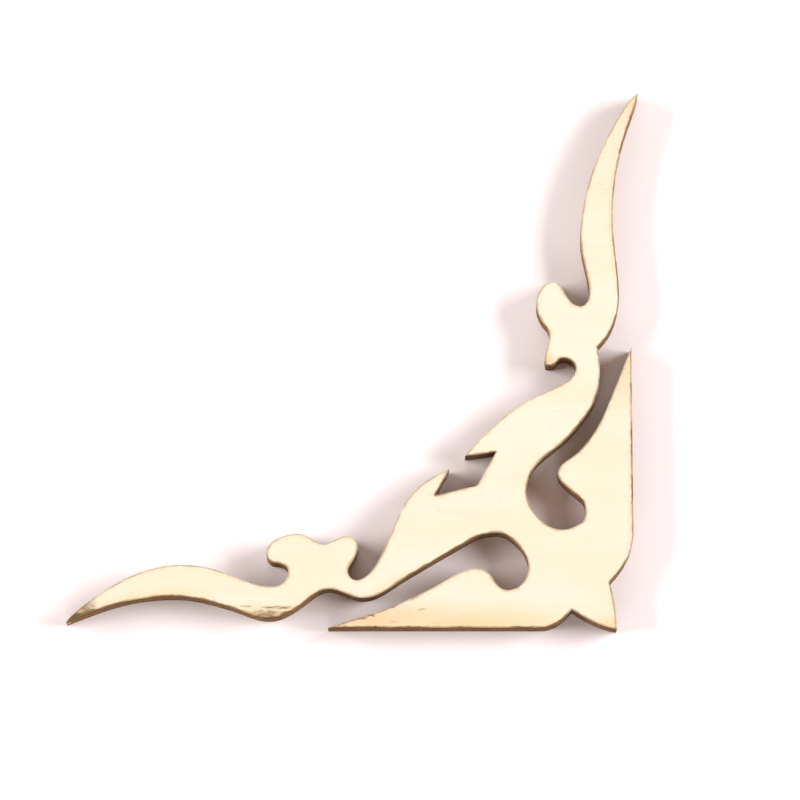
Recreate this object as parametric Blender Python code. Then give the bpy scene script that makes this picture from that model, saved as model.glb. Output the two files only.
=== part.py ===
"""A laser-cut plywood corner ornament: two leafy arms that meet in a hooked scroll.

The ornament is one flat piece. It is drawn with the right angle of its two straight outer
edges at (0, 0): the left arm runs along -X above the base edge, and the upper arm runs
along +Y beside the side edge. Drawing sizes are in millimetres, headings in degrees
counter-clockwise from +X, and the outline is travelled counter-clockwise.
"""
import math

import bpy
from mathutils import Vector

MM = 0.001

PLY_THICKNESS = 2.3
STEPS_PER_STRETCH = 8
STRAIGHT_WITHIN = 0.6

# The four points that set the overall size, and the two that end the straight edges
LEFT_ARM_TIP = (-67.6, 0.66)
UPPER_ARM_TIP = (1.22, 66.62)
SPUR_TIP = (-2.14, -0.18)
SIDE_PRONG_TIP = (0.0, 34.5)
BASE_PRONG_TIP = (-36.45, 0.0)

FACE_COLOUR = (0.86, 0.78, 0.6, 1.0)
FACE_ROUGHNESS = 0.7


class Anchor:
    """A point of the outline, with the headings in which the cut reaches and leaves it."""

    def __init__(self, point, arriving, leaving):
        self.point = Vector(point)
        self.arriving = math.radians(arriving)
        self.leaving = math.radians(leaving)


def smooth(x, y, heading):
    return Anchor((x, y), heading, heading)


def sharp(point, arriving, leaving):
    return Anchor(point, arriving, leaving)


def direction(angle):
    return Vector((math.cos(angle), math.sin(angle)))


def fullness(turn):
    """Handle length over the chord's run along the heading, which makes a true arc of that turn."""
    if turn < math.radians(1):
        return 1 / 3
    return 4 / 3 * math.tan(turn / 4) / math.sin(turn)


def handles(start, end):
    """The two inner control points of the stretch, and whether it is straight."""
    chord = end.point - start.point
    out = direction(start.leaving)
    back = direction(end.arriving)
    off_start = chord.angle(out)
    off_end = chord.angle(back)
    turn = min(out.angle(back), math.radians(150))
    reach = fullness(turn)
    first = start.point + out * abs(chord.dot(out)) * reach
    last = end.point - back * abs(chord.dot(back)) * reach
    return first, last, max(off_start, off_end) < math.radians(STRAIGHT_WITHIN)


def spur():
    """The pointed tail at the corner, up to the notch beside it."""
    return [
        sharp(SPUR_TIP, 351, 91),
        sharp((-2.95, 5.46), 108, 45),
    ]


def side_prong():
    """The straight outer edge on the right, and the prong that it ends in."""
    return [
        smooth(0.0, 11.6, 90),
        sharp(SIDE_PRONG_TIP, 90, 248),
    ]


def side_slot():
    """The hooked slot between the side prong and the upper arm."""
    return [
        smooth(-3.0, 27.0, 247),
        smooth(-7.75, 20.52, 213),
        smooth(-8.98, 18.85, 270),
        smooth(-8.42, 17.68, 315),
        sharp((-5.96, 15.46), 318, 300),
        smooth(-5.72, 14.2, 270),
        smooth(-6.3, 12.75, 210),
        smooth(-8.4, 11.97, 180),
        smooth(-11.4, 13.45, 128),
        smooth(-12.72, 16.6, 90),
        smooth(-10.8, 20.68, 40),
        smooth(-8.3, 22.78, 42),
        smooth(-5.3, 26.3, 55),
        smooth(-3.8, 31.4, 90),
        sharp((-4.08, 34.5), 98, 40),
    ]


def upper_arm():
    """The slender blade that points up, down to the round notch at its root."""
    return [
        smooth(-1.42, 41.0, 90),
        smooth(-2.06, 50.4, 90),
        smooth(0.15, 63.0, 70),
        sharp(UPPER_ARM_TIP, 82, 214),
        smooth(-0.6, 64.55, 238),
        smooth(-6.0, 48.0, 270),
        smooth(-5.4, 44.0, 281),
        smooth(-4.97, 41.3, 270),
        smooth(-6.1, 39.58, 180),
        smooth(-8.0, 41.35, 115),
    ]


def upper_lobe():
    """The round lobe beside the upper arm, and the small square nub under it."""
    return [
        smooth(-9.35, 42.7, 180),
        smooth(-11.42, 39.7, 270),
        smooth(-10.4, 37.2, 312),
        smooth(-9.87, 35.9, 270),
        smooth(-10.16, 34.5, 250),
        smooth(-10.45, 33.1, 269),
        sharp((-10.36, 32.24), 280, 340),
        smooth(-9.85, 32.11, 0),
        smooth(-8.8, 32.85, 52),
        smooth(-8.2, 33.08, 0),
        smooth(-6.73, 31.8, 270),
        smooth(-7.6, 30.35, 212),
    ]


def upper_leaf():
    """The broad leaf that belongs to the upper arm, and the stepped valley after it."""
    return [
        smooth(-12.0, 28.18, 205),
        smooth(-16.0, 25.3, 223),
        sharp((-20.1, 20.97), 236, 2),
        sharp((-16.4, 21.47), 8, 240),
        smooth(-18.33, 17.95, 243),
        smooth(-18.95, 17.26, 190),
        sharp((-23.68, 16.13), 193, 62),
    ]


def left_leaf():
    """The leaf that belongs to the left arm, down to the narrow notch at its root."""
    return [
        sharp((-22.0, 19.45), 67, 203),
        smooth(-27.93, 14.0, 247),
        smooth(-30.2, 8.75, 243),
        smooth(-33.1, 5.8, 180),
        smooth(-34.1, 6.95, 90),
        smooth(-33.5, 8.2, 62),
        smooth(-32.95, 9.85, 90),
    ]


def left_lobes():
    """The two lobes on top of the left arm, and the round notch after them."""
    return [
        smooth(-34.2, 11.22, 180),
        smooth(-37.0, 10.25, 180),
        smooth(-40.0, 11.47, 180),
        smooth(-43.85, 9.05, 270),
        smooth(-42.7, 7.83, 0),
        smooth(-41.22, 6.85, 270),
        smooth(-43.1, 5.04, 180),
    ]


def left_arm():
    """The blade that points left, and its long wavy underside."""
    return [
        smooth(-48.0, 6.4, 158),
        smooth(-54.0, 7.68, 180),
        smooth(-66.6, 1.82, 221),
        sharp(LEFT_ARM_TIP, 240, 22),
        smooth(-61.5, 2.9, 16),
        smooth(-54.6, 3.8, 0),
        smooth(-48.0, 2.45, 343),
        smooth(-43.5, 1.16, 0),
        smooth(-39.3, 3.05, 38),
        smooth(-36.35, 4.7, 0),
        smooth(-32.3, 3.6, 0),
        smooth(-27.0, 6.23, 31),
    ]


def base_slot():
    """The hooked slot between the left arm and the base prong."""
    return [
        smooth(-19.6, 10.64, 31),
        smooth(-16.3, 11.55, 0),
        smooth(-13.98, 10.28, 314),
        smooth(-12.6, 7.5, 270),
        smooth(-15.1, 4.6, 180),
        smooth(-16.5, 5.55, 119),
        smooth(-18.7, 7.2, 180),
        smooth(-24.0, 4.9, 208),
        smooth(-30.0, 2.13, 201),
    ]


def base_prong():
    """The prong along the base, its straight edge, and the curve up to the notch by the spur."""
    return [
        sharp(BASE_PRONG_TIP, 201, 0),
        smooth(-11.0, 0.0, 0),
        sharp((-7.45, 2.2), 52, 326),
    ]


def outline():
    features = (
        spur,
        side_prong,
        side_slot,
        upper_arm,
        upper_lobe,
        upper_leaf,
        left_leaf,
        left_lobes,
        left_arm,
        base_slot,
        base_prong,
    )
    return [anchor for feature in features for anchor in feature()]


def clear_scene():
    for old in list(bpy.data.objects):
        bpy.data.objects.remove(old, do_unlink=True)


def plywood():
    material = bpy.data.materials.new("plywood")
    material.use_nodes = True
    shader = material.node_tree.nodes["Principled BSDF"]
    shader.inputs["Base Color"].default_value = FACE_COLOUR
    shader.inputs["Roughness"].default_value = FACE_ROUGHNESS
    shader.inputs["Metallic"].default_value = 0.0
    return material


def fill_spline(spline, anchors, shift):
    """Lays the closed cut through the anchors, moved so that the overall box is centred."""
    spline.bezier_points.add(len(anchors) - 1)
    points = spline.bezier_points
    for point, anchor in zip(points, anchors):
        point.handle_left_type = "FREE"
        point.handle_right_type = "FREE"
        point.co = ((anchor.point + shift) * MM).to_3d()
    for i, start in enumerate(anchors):
        following = (i + 1) % len(anchors)
        first, last, straight = handles(start, anchors[following])
        points[i].handle_right = ((first + shift) * MM).to_3d()
        points[following].handle_left = ((last + shift) * MM).to_3d()
        if straight:
            points[i].handle_right_type = "VECTOR"
            points[following].handle_left_type = "VECTOR"
    spline.use_cyclic_u = True


def corner_ornament():
    curve = bpy.data.curves.new("corner_ornament", "CURVE")
    curve.dimensions = "2D"
    curve.fill_mode = "BOTH"
    curve.extrude = PLY_THICKNESS / 2 * MM
    curve.resolution_u = STEPS_PER_STRETCH
    shift = -Vector((LEFT_ARM_TIP[0] + UPPER_ARM_TIP[0], SPUR_TIP[1] + UPPER_ARM_TIP[1])) / 2
    fill_spline(curve.splines.new("BEZIER"), outline(), shift)
    curve.materials.append(plywood())
    ornament = bpy.data.objects.new("corner_ornament", curve)
    ornament.location.z = PLY_THICKNESS / 2 * MM
    return ornament


def main():
    clear_scene()
    collection = bpy.data.collections.new("wooden_corner_embellishment")
    bpy.context.scene.collection.children.link(collection)
    collection.objects.link(corner_ornament())


main()
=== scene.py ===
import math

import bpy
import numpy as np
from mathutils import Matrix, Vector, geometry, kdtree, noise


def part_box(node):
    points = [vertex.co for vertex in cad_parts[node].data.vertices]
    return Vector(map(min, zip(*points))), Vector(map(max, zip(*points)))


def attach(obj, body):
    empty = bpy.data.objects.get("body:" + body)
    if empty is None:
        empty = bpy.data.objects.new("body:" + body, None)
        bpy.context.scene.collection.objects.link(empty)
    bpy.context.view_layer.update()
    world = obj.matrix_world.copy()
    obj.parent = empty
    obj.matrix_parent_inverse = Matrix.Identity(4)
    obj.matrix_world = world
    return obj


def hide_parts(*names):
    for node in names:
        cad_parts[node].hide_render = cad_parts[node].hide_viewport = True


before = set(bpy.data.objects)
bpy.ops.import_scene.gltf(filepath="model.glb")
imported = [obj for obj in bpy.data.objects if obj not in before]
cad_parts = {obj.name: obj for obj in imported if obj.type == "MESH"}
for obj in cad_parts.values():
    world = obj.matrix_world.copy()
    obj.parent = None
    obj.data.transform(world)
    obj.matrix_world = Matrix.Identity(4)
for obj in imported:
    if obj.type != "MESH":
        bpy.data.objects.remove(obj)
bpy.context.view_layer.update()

# The looks of a laser-cut plywood corner ornament, lying flat on a pale floor.
# The ornament's sizes are in millimetres. Its nick, its marks and the camera's aim are placed in a
# drawing of it, whose zero is the right angle between the two straight outer edges: X runs to the
# right and Y runs up. The floor and the lamps are in metres.

MM = 0.001
PER_METRE = 1000.0

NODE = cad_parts["corner_ornament"]
BOX_LOW, BOX_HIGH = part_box("corner_ornament")
THICKNESS = (BOX_HIGH[2] - BOX_LOW[2]) / MM

# The upper arm's tip reaches past the side edge, and the spur's tip below the base edge
TIP_PAST_SIDE_EDGE = 1.22
SPUR_BELOW_BASE_EDGE = 0.18
CORNER_X = BOX_HIGH[0] / MM - TIP_PAST_SIDE_EDGE
CORNER_Y = BOX_LOW[1] / MM + SPUR_BELOW_BASE_EDGE

# Reading the solid: the digits that its places are rounded to, and how flat its top is
PLACE_DIGITS = 4
HEIGHT_TOLERANCE = 0.001

# The outline: turns over SHARP_TURN stay sharp, sides over STRAIGHT_LENGTH stay straight, and the
# rounded rim and the wavering of the cut fade out within CORNER_FADE of a sharp corner
SHARP_TURN = math.radians(25)
STRAIGHT_LENGTH = 3.0
OUTLINE_STEP = 0.14
CORNER_FADE = 0.7

# The rim is browned most where it faces the lower right: partly the burn of the cut, partly
# painted shade on the edges that face down and right
BURN_AND_SHADE_SIDE = (0.5, -0.87)
BURN_AND_SHADE_LEAST = 0.5
BURN_AND_SHADE_MOST = 0.9

# The cut edge: three plies, with a glue line on each side of the core
RIM_RADIUS = 0.07
RIM_ANGLES = (90, 60, 30, 0)
GLUE_LINES = (0.70, 1.60)
GLUE_HALF_WIDTH = 0.07
GLUE_DEPTH = 0.02
PLY_ROWS = (0.38, 1.0, 1.3, 1.93)
CUT_WAVE_DEPTH = 0.014
CUT_WAVE_PITCH = 0.55
CUT_WAVE_LEAN = 0.35

# The nick in the base edge: it is above NICK_FLOOR only, on points within NICK_REACH of the edge
NICK_X = -30.8
NICK_HALF_WIDTH = 0.16
NICK_DEPTH = 0.14
NICK_FLOOR = 1.2
NICK_REACH = 0.05

# The faces: rings of points along the outline, then a grid of points inside them. A ring's point
# is kept if no part of the outline is nearer than RING_KEEP of the ring's inset, and a grid's
# point if it is over GRID_MARGIN from the outline
RING_OFFSETS = (0.09, 0.2, 0.36, 0.62)
RING_STRIDES = (1, 1, 2, 3)
RING_KEEP = 0.95
GRID_MARGIN = 0.8
GRID_STEP_X = 0.75
GRID_STEP_Y = 0.17

# Their triangulation keeps the triangles inside the outline, and merges points this near
INSIDE_ONLY = 1
MERGE_DISTANCE = 1e-7

# The grain: shallow grooves, and finer ones between them
GRAIN_DEPTH = 0.014
GRAIN_LENGTH = 7.0
GRAIN_WIDTH = 0.45
GRAIN_LEVEL = 0.5
GRAIN_BROAD = 0.35
GRAIN_FINE = 0.15
FINE_TIMES = 2
FINE_SEED = 9
GRAIN_SEEDS = {"bottom": 6, "top": 3}
RELIEF_FADE = 0.5

# Shading: the rows at each rim with the face's material, and the turn that shows as an edge
RIM_ROWS = 2
EDGE_TURN = math.radians(40)


def srgb(red, green, blue):
    """A colour named as a screen shows it, in the linear values that a shader takes."""
    def linear(value):
        value /= 255
        return value / 12.92 if value <= 0.04045 else ((value + 0.055) / 1.055) ** 2.4
    return (linear(red), linear(green), linear(blue), 1.0)


def ease(t):
    """From 0 to 1, with a slow start and a slow end."""
    return t * t * (3 - 2 * t)


def smoothstep(low, high, value):
    return ease(min(max((value - low) / (high - low), 0.0), 1.0))


# The outline, read from the solid

def top_loop(node):
    """The corners of the solid's top outline, counter-clockwise, from the lowest one on."""
    mesh = node.data
    places = [tuple(round(value / MM, PLACE_DIGITS) for value in v.co.xy) for v in mesh.vertices]
    heights = [v.co.z / MM for v in mesh.vertices]
    top = max(heights)
    edges = set()
    for face in mesh.polygons:
        if any(top - heights[i] > HEIGHT_TOLERANCE for i in face.vertices):
            continue
        corners = [places[i] for i in face.vertices]
        for start, end in zip(corners, corners[1:] + corners[:1]):
            if (end, start) in edges:
                edges.remove((end, start))
            else:
                edges.add((start, end))
    onward = dict(edges)
    first = min(onward, key=lambda place: place[1])
    loop = [first]
    while onward[loop[-1]] != first:
        loop.append(onward[loop[-1]])
    return [Vector(place) for place in loop]


def split_at_corners(loop):
    """The loop as stretches that each run from one sharp corner to the next."""
    count = len(loop)
    sharp = []
    for i in range(count):
        arriving = loop[i] - loop[i - 1]
        leaving = loop[(i + 1) % count] - loop[i]
        if arriving.angle(leaving) > SHARP_TURN:
            sharp.append(i)
    stretches = []
    for start, end in zip(sharp, sharp[1:] + [sharp[0] + count]):
        stretches.append([loop[i % count] for i in range(start, end + 1)])
    return stretches


def tangents(points):
    """A direction at each point, leaning to the shorter side, or along a straight side."""
    sides = [end - start for start, end in zip(points, points[1:])]
    result = [sides[0].normalized()]
    for before, after in zip(sides, sides[1:]):
        if before.length > STRAIGHT_LENGTH:
            blend = before
        elif after.length > STRAIGHT_LENGTH:
            blend = after
        else:
            blend = before.normalized() * after.length + after.normalized() * before.length
        result.append(blend.normalized())
    result.append(sides[-1].normalized())
    return result


def resample(points):
    """Even steps along the smooth curve through the points, without the last one."""
    headings = tangents(points)
    samples = []
    for i in range(len(points) - 1):
        start, end = points[i], points[i + 1]
        length = (end - start).length
        steps = max(1, round(length / OUTLINE_STEP))
        for k in range(steps):
            t = k / steps
            bow_out = t * (1 - t) ** 2 * length
            bow_back = t * t * (1 - t) * length
            place = start.lerp(end, ease(t)) + headings[i] * bow_out - headings[i + 1] * bow_back
            samples.append(place)
    return samples


class Outline:
    """The fine outline: at each point its place, outward normal, run, and what its rim is like."""

    def __init__(self, node):
        places = []
        corner_marks = []
        for stretch in split_at_corners(top_loop(node)):
            corner_marks.append(len(places))
            places.extend(resample(stretch))
        self.places = np.array(places)
        self.count = len(places)

        onward = np.roll(self.places, -1, axis=0) - self.places
        steps = np.linalg.norm(onward, axis=1)
        headings = onward / steps[:, None]
        mean = headings + np.roll(headings, 1, axis=0)
        mean /= np.linalg.norm(mean, axis=1)[:, None]
        self.normals = np.column_stack((mean[:, 1], -mean[:, 0]))
        self.run = np.concatenate(([0.0], np.cumsum(steps)[:-1]))

        # 0 at a sharp corner and 1 away from it, so that the corners keep their places
        length = steps.sum()
        gaps = np.full(self.count, length)
        for mark in corner_marks:
            apart = np.abs(self.run - self.run[mark])
            gaps = np.minimum(gaps, np.minimum(apart, length - apart))
        self.fade = ease(np.clip(gaps / CORNER_FADE, 0, 1))

        # How much the rim browns by the way it faces: partly burn, partly painted shade
        toward_burn_and_shade = self.normals @ np.array(BURN_AND_SHADE_SIDE)
        self.burn_and_shade = BURN_AND_SHADE_LEAST + (BURN_AND_SHADE_MOST - BURN_AND_SHADE_LEAST) * np.clip(0.5 + toward_burn_and_shade, 0, 1)

        self.tree = kdtree.KDTree(self.count)
        for i, place in enumerate(self.places):
            self.tree.insert((place[0], place[1], 0), i)
        self.tree.balance()

    def nearest(self, x, y):
        """The number of the nearest outline point, and how far away it is."""
        return self.tree.find((x, y, 0))[1:]


# The piece's mesh

class Surface:
    """The piece's vertices, each with its distance from the rim and its burn and painted shade,
    and its faces.
    """

    def __init__(self):
        self.vertices = []
        self.rim_distance = []
        self.rim_burn_and_shade = []
        self.faces = []

    def add(self, x, y, height, distance, burn_and_shade):
        """Adds one vertex and returns its number."""
        self.vertices.append((x * MM, y * MM, height * MM))
        self.rim_distance.append(distance)
        self.rim_burn_and_shade.append(burn_and_shade)
        return len(self.vertices) - 1


def wall_rows():
    """Each row's height, its inset at the rim, and its recess at a glue line."""
    rows = []
    for angle in RIM_ANGLES:
        turn = math.radians(angle)
        rows.append((RIM_RADIUS * (1 - math.sin(turn)), RIM_RADIUS * (1 - math.cos(turn)), 0.0))
    heights = [(height, 0.0) for height in PLY_ROWS]
    for line in GLUE_LINES:
        heights.append((line - GLUE_HALF_WIDTH, 0.0))
        heights.append((line, GLUE_DEPTH))
        heights.append((line + GLUE_HALF_WIDTH, 0.0))
    rows.extend((height, 0.0, recess) for height, recess in sorted(heights))
    for height, inset, recess in reversed(rows[:len(RIM_ANGLES)]):
        rows.append((THICKNESS - height, inset, recess))
    return rows


def cut_wave(run, height):
    """How far the wavering cut eats into the wall, never outward."""
    where = Vector((run / CUT_WAVE_PITCH, height * CUT_WAVE_LEAN, 0.0))
    return CUT_WAVE_DEPTH * (0.5 + 0.5 * noise.noise(where))


def nick(place, height):
    """The small bite out of the upper half of the base edge."""
    if height < NICK_FLOOR or abs(place[1] - CORNER_Y) > NICK_REACH:
        return 0.0
    off = (place[0] - CORNER_X - NICK_X) / NICK_HALF_WIDTH
    return NICK_DEPTH * math.exp(-off * off)


def grain_relief(x, y, seed):
    """The shallow grooves of the grain, which runs along X."""
    along = x / GRAIN_LENGTH
    across = y / GRAIN_WIDTH
    broad = noise.noise(Vector((along, across, seed)))
    fine = noise.noise(Vector((along * FINE_TIMES, across * FINE_TIMES, seed + FINE_SEED)))
    return GRAIN_DEPTH * (GRAIN_LEVEL + GRAIN_BROAD * broad + GRAIN_FINE * fine)


def ring_points(outline):
    """Points of a face that follow its outline, on rings further and further in."""
    points = []
    for offset, stride in zip(RING_OFFSETS, RING_STRIDES):
        inset = RIM_RADIUS + offset
        for i in range(0, outline.count, stride):
            x, y = outline.places[i] - outline.normals[i] * inset
            if outline.nearest(x, y)[1] > inset * RING_KEEP:
                points.append((x, y))
    return points


def grid_points(outline):
    """Points of a face inside its rings, on rows along the grain."""
    points = []
    low = outline.places.min(axis=0)
    high = outline.places.max(axis=0)
    starts = outline.places
    ends = np.roll(starts, -1, axis=0)
    row = 0
    y = low[1] + GRID_STEP_Y / 2
    while y < high[1]:
        crossing = (starts[:, 1] > y) != (ends[:, 1] > y)
        a, b = starts[crossing], ends[crossing]
        cuts = np.sort(a[:, 0] + (y - a[:, 1]) / (b[:, 1] - a[:, 1]) * (b[:, 0] - a[:, 0]))
        shift = GRID_STEP_X / 2 if row % 2 else 0.0
        for left, right in zip(cuts[::2], cuts[1::2]):
            x = math.ceil((left - shift) / GRID_STEP_X) * GRID_STEP_X + shift
            while x < right:
                if outline.nearest(x, y)[1] > GRID_MARGIN:
                    points.append((x, y))
                x += GRID_STEP_X
        y += GRID_STEP_Y
        row += 1
    return points


def add_wall(surface, outline, rows):
    """The cut edge all round, from the bottom rim's row of vertices to the top rim's."""
    count = outline.count
    for height, inset, recess in rows:
        for i in range(count):
            place = outline.places[i]
            depth = inset + recess + cut_wave(outline.run[i], height)
            depth = depth * outline.fade[i] + nick(place, height)
            x, y = place - outline.normals[i] * depth
            surface.add(x, y, height, inset, outline.burn_and_shade[i])
    for row in range(len(rows) - 1):
        for i in range(count):
            after = (i + 1) % count
            surface.faces.append((row * count + i, row * count + after,
                                  (row + 1) * count + after, (row + 1) * count + i))


def add_face(surface, outline, side, first, inner):
    """The top or bottom face, joined to the row of rim vertices that starts at number first."""
    count = outline.count
    rim = [Vector((x / MM, y / MM)) for x, y, _ in surface.vertices[first:first + count]]
    flat = rim + [Vector(point) for point in inner]
    border = [list(range(count))]
    places, _, triangles, sources, _, _ = geometry.delaunay_2d_cdt(
        flat, [], border, INSIDE_ONLY, MERGE_DISTANCE)
    numbers = []
    for (x, y), origins in zip(places, sources):
        if origins and origins[0] < count:
            numbers.append(first + origins[0])
            continue
        nearest, away = outline.nearest(x, y)
        depth = grain_relief(x, y, GRAIN_SEEDS[side]) * smoothstep(RIM_RADIUS, RELIEF_FADE, away)
        height = THICKNESS - depth if side == "top" else depth
        numbers.append(surface.add(x, y, height, away, outline.burn_and_shade[nearest]))
    for corners in triangles:
        a, b, c = (places[k] for k in corners)
        loop = [numbers[k] for k in corners]
        if ((b - a).cross(c - a) > 0) != (side == "top"):
            loop.reverse()
        surface.faces.append(tuple(loop))


def ornament_mesh():
    """The whole piece, with each vertex's distance from the rim and its burn and painted shade as
    attributes.
    """
    outline = Outline(NODE)
    rows = wall_rows()
    surface = Surface()
    add_wall(surface, outline, rows)
    wall_faces = len(surface.faces)
    inner = ring_points(outline) + grid_points(outline)
    add_face(surface, outline, "bottom", 0, inner)
    add_face(surface, outline, "top", (len(rows) - 1) * outline.count, inner)

    mesh = bpy.data.meshes.new("plywood_corner")
    mesh.from_pydata(surface.vertices, [], surface.faces)
    for name, values in (("rim_distance", surface.rim_distance), ("rim_burn_and_shade", surface.rim_burn_and_shade)):
        mesh.attributes.new(name, "FLOAT", "POINT").data.foreach_set("value", values)
    rim_faces = RIM_ROWS * outline.count
    on_cut = np.zeros(len(surface.faces), dtype=np.int32)
    on_cut[rim_faces:wall_faces - rim_faces] = 1
    mesh.polygons.foreach_set("material_index", on_cut)
    mesh.polygons.foreach_set("use_smooth", np.ones(len(surface.faces), dtype=bool))
    mesh.set_sharp_from_angle(angle=EDGE_TURN)
    mesh.update()
    print("plywood_corner: triangles", wall_faces + len(surface.faces))
    return mesh


# Shader building

# The colour sockets of a Mix node, by number, because its sockets for other values share names
MIX_FACTOR = 0
MIX_BASE = 6
MIX_COLOUR = 7
MIX_RESULT = 2

# A patch reaches this far up and down, so that the height doesn't count
PATCH_DEPTH = 1000


class Paint:
    """A material's node tree, with short ways to add what the plywood needs."""

    def __init__(self, name):
        self.material = bpy.data.materials.new(name)
        self.material.use_nodes = True
        self.tree = self.material.node_tree
        self.shader = self.tree.nodes["Principled BSDF"]
        place = self.tree.nodes.new("ShaderNodeTexCoord").outputs["Object"]
        self.place = self.mapped(place, location=(-CORNER_X, -CORNER_Y, 0), scale=(PER_METRE,) * 3)
        self.height = self.add("ShaderNodeSeparateXYZ", Vector=self.place).outputs["Z"]

    def add(self, kind, **inputs):
        node = self.tree.nodes.new(kind)
        for name, value in inputs.items():
            self.put(node.inputs[name.replace("_", " ")], value)
        return node

    def put(self, socket, value):
        if isinstance(value, bpy.types.NodeSocket):
            self.tree.links.new(value, socket)
        else:
            socket.default_value = value

    def mapped(self, vector, location=(0, 0, 0), turn=0.0, scale=(1, 1, 1), kind="POINT"):
        node = self.add("ShaderNodeMapping", Vector=vector, Location=location,
                        Rotation=(0, 0, math.radians(turn)), Scale=scale)
        node.vector_type = kind
        return node.outputs["Vector"]

    def calc(self, operation, first, second=0.0, clamp=False):
        node = self.tree.nodes.new("ShaderNodeMath")
        node.operation = operation
        node.use_clamp = clamp
        self.put(node.inputs[0], first)
        self.put(node.inputs[1], second)
        return node.outputs["Value"]

    def times(self, value, *factors):
        for factor in factors:
            value = self.calc("MULTIPLY", value, factor)
        return value

    def vector_calc(self, operation, *vectors):
        node = self.tree.nodes.new("ShaderNodeVectorMath")
        node.operation = operation
        for socket, vector in zip(node.inputs, vectors):
            self.put(socket, vector)
        return node.outputs["Value" if operation == "LENGTH" else "Vector"]

    def attribute(self, name):
        node = self.tree.nodes.new("ShaderNodeAttribute")
        node.attribute_name = name
        return node.outputs["Fac"]

    def noise(self, scale, detail=2.0, roughness=0.5, stretch=(1, 1, 1)):
        """Noise over the drawing, drawn out along each axis whose stretch is under 1."""
        vector = self.mapped(self.place, scale=stretch)
        node = self.add("ShaderNodeTexNoise", Vector=vector, Scale=scale, Detail=detail,
                        Roughness=roughness)
        return node.outputs["Fac"]

    def remap(self, value, low, high, bottom=0.0, top=1.0):
        """Bottom where the value is under low, top where it is over high, and smooth between."""
        node = self.add("ShaderNodeMapRange", Value=value, From_Min=low, From_Max=high,
                        To_Min=bottom, To_Max=top)
        node.interpolation_type = "SMOOTHSTEP"
        return node.outputs["Result"]

    def mix(self, factor, base, colour):
        node = self.tree.nodes.new("ShaderNodeMix")
        node.data_type = "RGBA"
        self.put(node.inputs[MIX_FACTOR], factor)
        self.put(node.inputs[MIX_BASE], base)
        self.put(node.inputs[MIX_COLOUR], colour)
        return node.outputs[MIX_RESULT]

    def warped(self, amount, scale):
        """The drawing's coordinates, pushed about a little, for ragged edges of stains."""
        push = self.add("ShaderNodeTexNoise", Vector=self.place, Scale=scale, Detail=3.0)
        middle = self.vector_calc("ADD", self.place, (-amount / 2, -amount / 2, 0))
        return self.vector_calc("MULTIPLY_ADD", push.outputs["Color"], (amount, amount, 0), middle)

    def patch(self, place, centre, radii, core, turn=0.0):
        """1 in the core of an ellipse of the drawing, falling softly to 0 at its edge."""
        local = self.mapped(place, (*centre, 0), turn, (*radii, PATCH_DEPTH), "TEXTURE")
        return self.remap(self.vector_calc("LENGTH", local), core, 1.0, bottom=1.0, top=0.0)

    def finish(self, colour, roughness, specular):
        self.put(self.shader.inputs["Base Color"], colour)
        self.put(self.shader.inputs["Roughness"], roughness)
        self.shader.inputs["Specular IOR Level"].default_value = specular

    def bump(self, height, distance, strength):
        node = self.add("ShaderNodeBump", Height=height, Distance=distance * MM, Strength=strength)
        self.put(self.shader.inputs["Normal"], node.outputs["Normal"])


# The wood is matt, and its face is a little smoother between the lines of its grain
WOOD_SPECULAR = 0.12
FACE_ROUGHNESS = (0.7, 0.82)
CUT_ROUGHNESS = 0.85

# Colours of the face
CREAM = srgb(221, 220, 197)
CREAM_DEEP = srgb(221, 216, 190)
GRAIN_LINE = srgb(203, 189, 156)
HONEY = srgb(222, 198, 154)
PEACH = srgb(222, 191, 153)
AMBER = srgb(223, 186, 131)
FRINGE = srgb(217, 185, 142)
TAN = srgb(193, 162, 124)
RIM_BROWN = srgb(120, 89, 64)
CHAR = srgb(88, 79, 54)
SOOT = srgb(134, 106, 71)
ASH = srgb(166, 154, 124)

# Warm tints: colour, centre, radii, turn, strength
TINTS = (
    (PEACH, (-31.5, 0.6), (10.0, 3.0), 10, 1.0),
    (HONEY, (-20.0, 0.2), (20.0, 4.0), 0, 1.0),
    (HONEY, (-3.0, -0.2), (3.6, 3.2), 0, 0.95),
    (PEACH, (-0.8, 32.0), (3.2, 8.0), -10, 0.6),
    (FRINGE, (0.5, 15.0), (1.3, 20.0), 0, 1.0),
    (PEACH, (0.6, 65.2), (1.6, 6.0), -20, 0.5),
    (PEACH, (-1.2, 60.5), (3.4, 11.0), -18, 0.3),
    (HONEY, (-1.8, 50.0), (1.1, 9.0), 0, 0.8),
    (AMBER, (-10.2, 32.75), (1.5, 1.4), 0, 0.85),
    (HONEY, (-58.0, 2.9), (10.5, 2.3), 10, 0.85),
    (HONEY, (-43.5, 1.3), (7.0, 2.3), 0, 0.9),
    (PEACH, (-39.0, 3.0), (2.2, 1.0), 38, 0.5),
    (HONEY, (-28.0, 5.8), (6.0, 1.2), 28, 0.4),
    (HONEY, (-38.0, 7.5), (9.0, 5.0), 0, 0.2),
    (HONEY, (-3.5, 18.0), (6.0, 16.0), 0, 0.15),
)
TINT_WARP = 1.2
TINT_WARP_SCALE = 0.35

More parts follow.
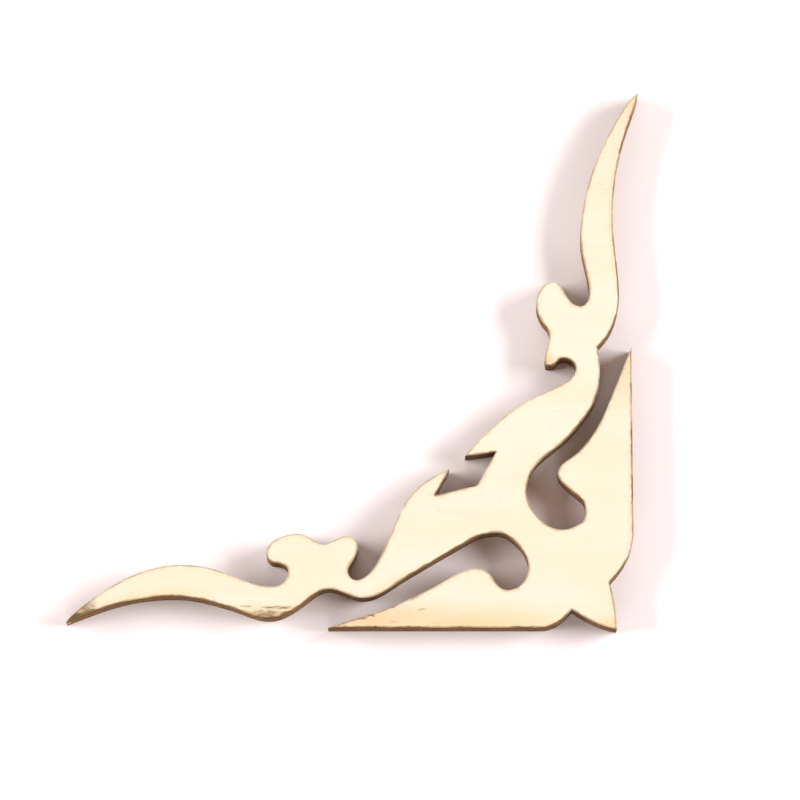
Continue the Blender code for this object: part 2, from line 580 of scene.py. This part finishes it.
# Scorched and dirty marks of the top face: colour, centre, radii, turn, strength
MARKS = (
    (ASH, (-66.0, 1.85), (2.6, 1.4), 38, 1.9),
    (SOOT, (-65.7, 1.9), (2.5, 1.3), 38, 0.6),
    (CHAR, (-66.8, 1.15), (1.5, 0.8), 34, 2.2),
    (CHAR, (-66.45, 1.35), (1.2, 0.45), 23, 2.6),
    (SOOT, (-65.0, 1.9), (1.6, 0.35), 22, 1.2),
    (SOOT, (-42.3, 2.45), (2.7, 0.26), -1, 1.1),
    (SOOT, (-43.4, 1.65), (3.4, 0.7), -4, 0.85),
    (SOOT, (-46.2, 2.6), (1.0, 0.18), -4, 0.6),
    (CHAR, (-44.8, 1.5), (0.6, 0.3), 0, 1.3),
    (SOOT, (-41.4, 1.75), (1.1, 0.42), 14, 1.9),
    (CHAR, (-43.0, 1.25), (2.2, 0.2), 0, 1.1),
    (RIM_BROWN, (-33.7, 0.98), (3.0, 0.2), 18, 0.9),
    (RIM_BROWN, (-33.0, 1.2), (1.6, 0.22), -4, 1.6),
    (RIM_BROWN, (-31.6, 1.55), (1.1, 0.2), -8, 1.2),
    (RIM_BROWN, (-30.8, 0.1), (0.3, 0.25), 0, 1.0),
    (RIM_BROWN, (-29.0, 2.45), (1.6, 0.2), 22, 0.9),
    (TAN, (-28.6, 0.75), (0.9, 0.2), -10, 0.8),
    (TAN, (-26.2, 3.55), (0.8, 0.2), 24, 0.9),
    (TAN, (-25.3, 2.2), (0.8, 0.2), 10, 0.9),
    (TAN, (-24.0, 0.55), (1.4, 0.12), 0, 0.5),
    (TAN, (-27.0, 1.5), (0.9, 0.1), 0, 0.4),
    (TAN, (-24.5, 4.1), (0.35, 0.16), 0, 0.4),
    (RIM_BROWN, (-7.5, 30.5), (0.3, 0.16), 30, 0.7),
    (TAN, (-0.15, 15.0), (0.2, 1.4), 0, 0.7),
)
MARK_WARP = 0.5
MARK_WARP_SCALE = 1.6
MARK_CORE = 0.3

# The share of a mark that is left between its streaks
MARK_LEAST = 0.3

# The marks start at the first height and are in full above the second
MARKED_HEIGHTS = (1.0, 1.3)

# Distances from the rim over which its warmth fades, and the least and most reach of its brown
WARM_FADE = (0.05, 0.75)
BROWN_REACH = (0.2, 0.32)


def grained(paint, lines, fine):
    """Cream that deepens in broad patches, with faint darker lines of grain."""
    mottle = paint.noise(scale=1.0, detail=3.0, roughness=0.55, stretch=(0.06, 0.22, 0.3))
    colour = paint.mix(paint.remap(mottle, 0.38, 0.66), CREAM, CREAM_DEEP)
    colour = paint.mix(paint.remap(lines, 0.52, 0.74, top=0.15), colour, GRAIN_LINE)
    return paint.mix(paint.remap(fine, 0.56, 0.72, top=0.08), colour, GRAIN_LINE)


def tinted(paint, colour):
    """The warm tints of the board, with soft edges."""
    place = paint.warped(TINT_WARP, TINT_WARP_SCALE)
    for tint, centre, radii, turn, strength in TINTS:
        patch = paint.patch(place, centre, radii, core=0.0, turn=turn)
        colour = paint.mix(paint.times(patch, strength), colour, tint)
    return colour


def marked(paint, colour, on_top):
    """The scorched and dirty marks, ragged, and broken up along the grain."""
    place = paint.warped(MARK_WARP, MARK_WARP_SCALE)
    streaks = paint.noise(scale=1.5, detail=4.0, roughness=0.7, stretch=(0.8, 3.6, 1.0))
    broken = paint.calc("ADD", paint.remap(streaks, 0.42, 0.6), MARK_LEAST, clamp=True)
    for stain, centre, radii, turn, strength in MARKS:
        patch = paint.patch(place, centre, radii, core=MARK_CORE, turn=turn)
        colour = paint.mix(paint.times(patch, strength, on_top, broken), colour, stain)
    return colour


def flecked(paint, colour, on_top):
    """Fine tan flecks, in some dusty places only."""
    flecks = paint.noise(scale=1.0, detail=1.0, roughness=0.4, stretch=(1.3, 5.0, 1.0))
    dusty = paint.remap(paint.noise(scale=0.12), 0.42, 0.62)
    amount = paint.times(paint.remap(flecks, 0.64, 0.76, top=0.24), dusty, on_top)
    return paint.mix(amount, colour, TAN)


def rim_warmed(paint, colour, rim_away, uneven):
    """A faint warmth along the rim, from the heat of the cut."""
    warmth = paint.remap(rim_away, *WARM_FADE, bottom=0.55, top=0.0)
    return paint.mix(paint.times(warmth, paint.remap(uneven, 0.35, 0.6)), colour, HONEY)


def rim_browned(paint, colour, rim_away, uneven):
    """The thin brown line along the rim, wider and darker in some places, and darker where the rim
    faces the lower right: partly burn, partly painted shade.
    """
    reach = paint.remap(uneven, 0.3, 0.7, *BROWN_REACH)
    browned = paint.remap(paint.calc("DIVIDE", rim_away, reach), 0.4, 1.1, bottom=1.0, top=0.0)
    scorch = paint.remap(paint.noise(scale=0.28), 0.36, 0.6, bottom=0.6, top=1.1)
    # Painted shade as well as burn: the brown is darker where the rim faces down and right
    return paint.mix(paint.times(browned, paint.attribute("rim_burn_and_shade"), scorch), colour, RIM_BROWN)


def face_material():
    """Pale basswood: faint grain along X, warm tints, scorched marks and a browned rim that is
    partly painted shade.
    """
    paint = Paint("plywood_face")
    lines = paint.noise(scale=3.2, detail=4.0, roughness=0.62, stretch=(0.05, 0.9, 1.0))
    fine = paint.noise(scale=1.6, stretch=(0.16, 5.0, 1.0))
    uneven = paint.noise(scale=0.9, detail=3.0, roughness=0.6)
    rim_away = paint.attribute("rim_distance")
    on_top = paint.remap(paint.height, *MARKED_HEIGHTS)

    colour = grained(paint, lines, fine)
    colour = tinted(paint, colour)
    colour = rim_warmed(paint, colour, rim_away, uneven)
    colour = marked(paint, colour, on_top)
    colour = flecked(paint, colour, on_top)
    colour = rim_browned(paint, colour, rim_away, uneven)
    paint.finish(colour, paint.remap(lines, 0.3, 0.7, *FACE_ROUGHNESS), WOOD_SPECULAR)
    paint.bump(paint.calc("ADD", lines, paint.times(fine, 0.4)), distance=0.03, strength=0.35)
    return paint.material


# Colours of the cut edge
EDGE_PLY = srgb(128, 94, 60)
EDGE_PLY_PALE = srgb(152, 116, 80)
EDGE_CORE = srgb(114, 82, 52)
EDGE_OLIVE = srgb(130, 102, 60)
EDGE_BURNT = srgb(78, 54, 32)
EDGE_RAW = srgb(184, 150, 122)
GLUE_BROWN = srgb(70, 48, 36)

# The plies waver up and down by up to half of this, and blend over this on each side of a line
PLY_WAVER = 0.12
PLY_BLEND = 0.05

# The brown is full within the first distance of a glue line, of the top and of the bottom, and
# gone beyond the second
GLUE_STAIN = (0.02, 0.09)
TOP_BURN = (0.2, 1.1)
FOOT_DARKENING = (0.1, 1.0)

# The left arm's wall is browned to olive, and its tip is chipped down to bare wood
ARM_MIDDLE = (-52.0, 5.0)
ARM_RADII = (19.0, 9.0)
ARM_TIP = (-67.6, 0.7)
ARM_TIP_RADII = (0.75, 0.6)
CHIP_STRENGTH = 0.65


def plies(paint, in_core):
    """The pale outer plies, uneven in colour, and the darker core."""
    patches = paint.noise(scale=0.45, detail=3.0, roughness=0.6, stretch=(1, 1, 0.6))
    colour = paint.mix(paint.remap(patches, 0.4, 0.62), EDGE_PLY, EDGE_PLY_PALE)
    return paint.mix(paint.times(in_core, 0.85), colour, EDGE_CORE)


def olive_stained(paint, colour):
    """Olive blotches here and there, and all along the left arm."""
    blotches = paint.remap(paint.noise(scale=0.16, stretch=(1, 1, 0.3)), 0.5, 0.66, top=0.4)
    on_arm = paint.patch(paint.place, ARM_MIDDLE, ARM_RADII, core=0.8)
    return paint.mix(paint.calc("ADD", blotches, paint.times(on_arm, 0.45)), colour, EDGE_OLIVE)


def burnt(paint, colour, level, streaks):
    """Upright burn streaks, dark glue lines, and a darker top and foot."""
    colour = paint.mix(paint.remap(streaks, 0.42, 0.7, top=0.6), colour, EDGE_BURNT)
    for line in GLUE_LINES:
        off = paint.calc("ABSOLUTE", paint.calc("SUBTRACT", level, line))
        colour = paint.mix(paint.remap(off, *GLUE_STAIN, bottom=0.6, top=0.0), colour, GLUE_BROWN)
    high, low = (THICKNESS - depth for depth in TOP_BURN)
    colour = paint.mix(paint.remap(level, low, high, top=0.75), colour, EDGE_BURNT)
    # Darker towards the foot of the wall
    return paint.mix(paint.remap(level, *FOOT_DARKENING, bottom=0.7, top=0.0), colour, EDGE_BURNT)


def cut_material():
    """The laser-cut wall: browned plies, dark glue lines and fine upright burn streaks."""
    paint = Paint("plywood_cut_edge")
    waver = paint.noise(scale=0.5, stretch=(1, 1, 0.2))
    waver = paint.times(paint.calc("SUBTRACT", waver, 0.5), PLY_WAVER)
    level = paint.calc("ADD", paint.height, waver)
    streaks = paint.noise(scale=3.2, detail=4.0, roughness=0.65, stretch=(1, 1, 0.15))
    low, high = GLUE_LINES
    above = paint.remap(level, low - PLY_BLEND, low + PLY_BLEND)
    below = paint.remap(level, high - PLY_BLEND, high + PLY_BLEND, bottom=1.0, top=0.0)
    in_core = paint.times(above, below)

    colour = plies(paint, in_core)
    colour = olive_stained(paint, colour)
    colour = burnt(paint, colour, level, streaks)
    at_tip = paint.patch(paint.place, ARM_TIP, ARM_TIP_RADII, core=0.5)
    colour = paint.mix(paint.times(at_tip, in_core, CHIP_STRENGTH), colour, EDGE_RAW)
    paint.finish(colour, CUT_ROUGHNESS, WOOD_SPECULAR)
    paint.bump(streaks, distance=0.05, strength=0.6)
    return paint.material


def plywood_corner():
    piece = bpy.data.objects.new("plywood_corner", ornament_mesh())
    bpy.context.scene.collection.objects.link(piece)
    piece.data.materials.append(face_material())
    piece.data.materials.append(cut_material())
    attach(piece, "root")
    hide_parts("corner_ornament")


# The stage, in metres
FLOOR_SIDE = 6.0
FLOOR_GAP = 0.00005
FLOOR_COLOUR = srgb(252, 248, 247)
FLOOR_ROUGHNESS = 0.8
FLOOR_SPECULAR = 0.1

# A light tent: low broad lamps on every side, so that only the narrow slots stay dark.
# Name, place, width, height, watts, colour
LAMPS = (
    ("key_light", (0.95, 0.12, 0.32), 0.7, 0.35, 19.2, (0.97, 0.96, 1.01)),
    ("fill_light", (-0.95, 0.1, 0.3), 0.8, 0.35, 16.3, (1.0, 0.98, 1.01)),
    ("front_light", (-0.1, -0.95, 0.34), 0.9, 0.35, 4.2, (1.0, 1.02, 1.03)),
    ("back_light", (-0.1, 0.95, 0.36), 0.9, 0.4, 3.1, (1.0, 1.0, 1.02)),
)
SKY_COLOUR = (1.0, 0.69, 0.56, 1.0)
SKY_STRENGTH = 0.25


def floor():
    """A plain pale floor, just under the part."""
    half = FLOOR_SIDE / 2
    mesh = bpy.data.meshes.new("floor")
    corners = [(-half, -half, 0), (half, -half, 0), (half, half, 0), (-half, half, 0)]
    mesh.from_pydata(corners, [], [(0, 1, 2, 3)])
    plane = bpy.data.objects.new("floor", mesh)
    plane.location.z = BOX_LOW[2] - FLOOR_GAP
    bpy.context.scene.collection.objects.link(plane)
    material = bpy.data.materials.new("floor")
    material.use_nodes = True
    shader = material.node_tree.nodes["Principled BSDF"]
    shader.inputs["Base Color"].default_value = FLOOR_COLOUR
    shader.inputs["Roughness"].default_value = FLOOR_ROUGHNESS
    shader.inputs["Specular IOR Level"].default_value = FLOOR_SPECULAR
    plane.data.materials.append(material)


def area_light(name, location, width, height, watts, colour):
    """A soft lamp that faces the middle of the ornament."""
    data = bpy.data.lights.new(name, "AREA")
    data.shape = "RECTANGLE"
    data.size = width
    data.size_y = height
    data.energy = watts
    data.color = colour
    lamp = bpy.data.objects.new(name, data)
    lamp.location = location
    lamp.rotation_euler = (-Vector(location)).to_track_quat("-Z", "Y").to_euler()
    bpy.context.scene.collection.objects.link(lamp)


def studio():
    """The lamps, and a faint warm sky that fills the shadows."""
    for lamp in LAMPS:
        area_light(*lamp)
    world = bpy.data.worlds.new("studio")
    world.use_nodes = True
    background = world.node_tree.nodes["Background"]
    background.inputs["Color"].default_value = SKY_COLOUR
    background.inputs["Strength"].default_value = SKY_STRENGTH
    bpy.context.scene.world = world
    bpy.context.scene.view_settings.view_transform = "Standard"


# The camera looks down at the ornament, fourteen degrees off the upright
AIM = (-27.9, 27.9)
CAMERA_BACK = 139.6
CAMERA_UP = 559.8
CAMERA_LENS = 215.9


def camera():
    aim = Vector((CORNER_X + AIM[0], CORNER_Y + AIM[1], THICKNESS)) * MM
    data = bpy.data.cameras.new("camera")
    data.lens = CAMERA_LENS
    eye = bpy.data.objects.new("camera", data)
    eye.location = aim + Vector((0, -CAMERA_BACK, CAMERA_UP)) * MM
    eye.rotation_euler = (aim - eye.location).to_track_quat("-Z", "Y").to_euler()
    bpy.context.scene.collection.objects.link(eye)
    bpy.context.scene.camera = eye


camera()
floor()
studio()
plywood_corner()
